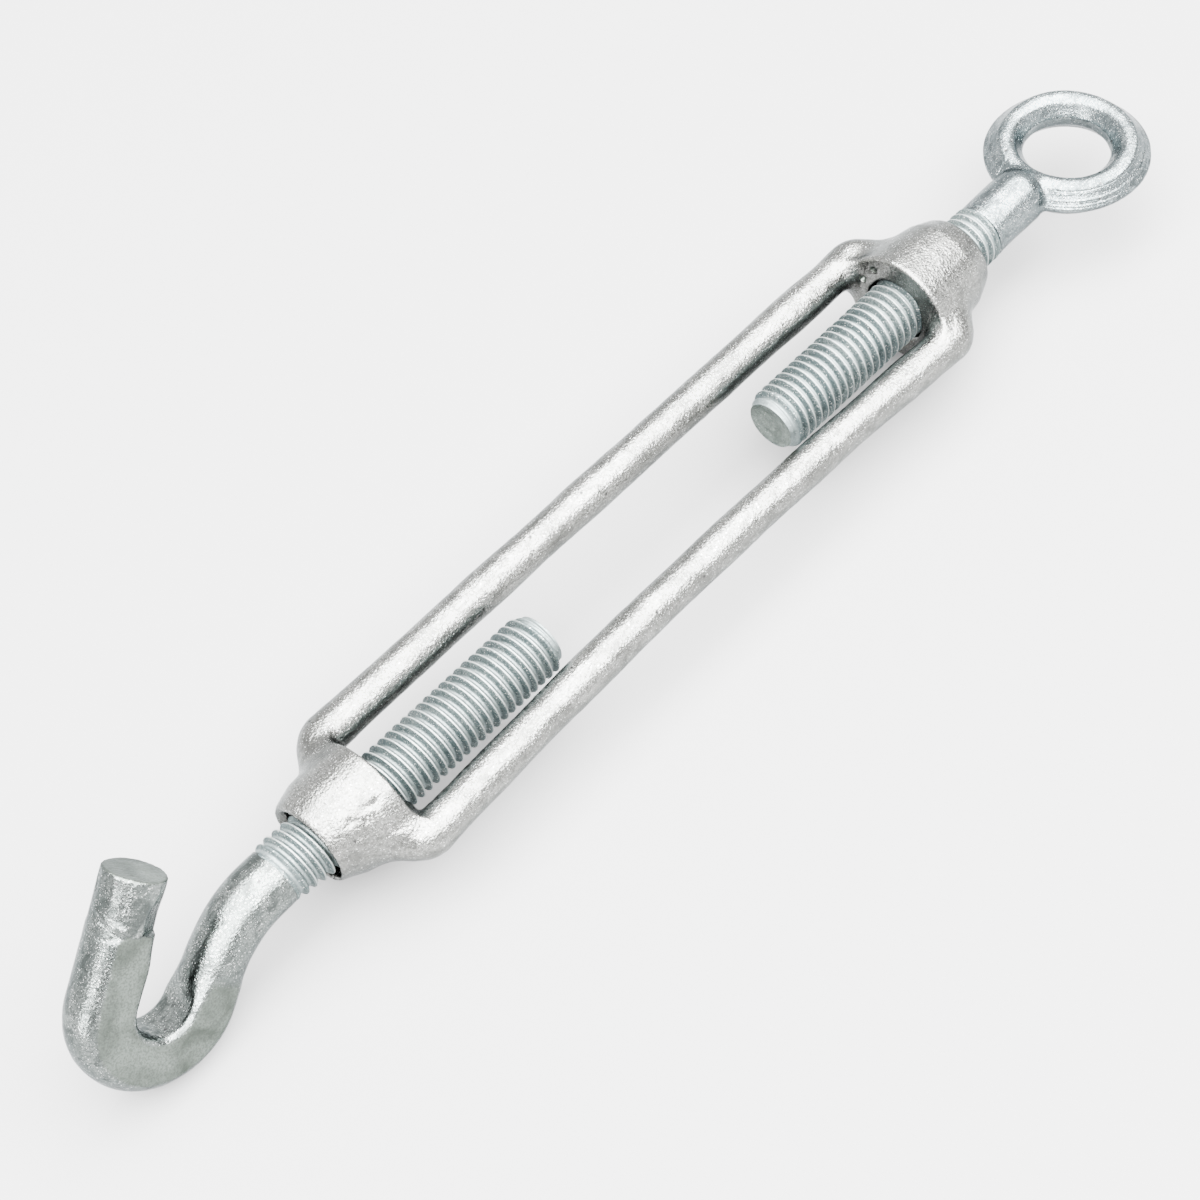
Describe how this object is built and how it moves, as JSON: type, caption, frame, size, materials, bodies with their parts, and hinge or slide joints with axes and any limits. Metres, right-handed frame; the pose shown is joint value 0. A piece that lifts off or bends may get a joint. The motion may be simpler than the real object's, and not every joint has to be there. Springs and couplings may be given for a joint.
{
  "type": "turnbuckle",
  "caption": "Open-body turnbuckle with a hook at one end and an eye at the other, for tensioning rope, wire or chain by turning its body.",
  "frame": {"origin": "centre of the cast body, on the screw axis, in the middle of its open window", "axes": "+X along the screw axis towards the eye, +Z along the axis of the eye's hole, up"},
  "size_m": [0.2229, 0.0282, 0.032],
  "materials": {
    "zinc_plated_casting": "bright zinc plate over a rough casting",
    "zinc_plated_hook": "bright zinc plate over a forged and rolled bar",
    "zinc_plated_eye": "bright zinc plate over a forged and rolled bar"
  },
  "bodies": {
    "body": {"body_frame": "zinc_plated_casting"},
    "hook": {"hook_bolt": "zinc_plated_hook"},
    "eye": {"eye_bolt": "zinc_plated_eye"}
  },
  "joints": [
    {"name": "hook_slide", "type": "slide", "parent": "body", "child": "hook", "axis": [-1, 0, 0], "range_m": [-0.0045, 0.0285]},
    {"name": "eye_slide", "type": "slide", "parent": "body", "child": "eye", "axis": [1, 0, 0], "range_m": [-0.0045, 0.0285]}
  ],
  "couplings": [
    {"joint": "eye_slide", "follows": "hook_slide", "ratio": 1}
  ]
}
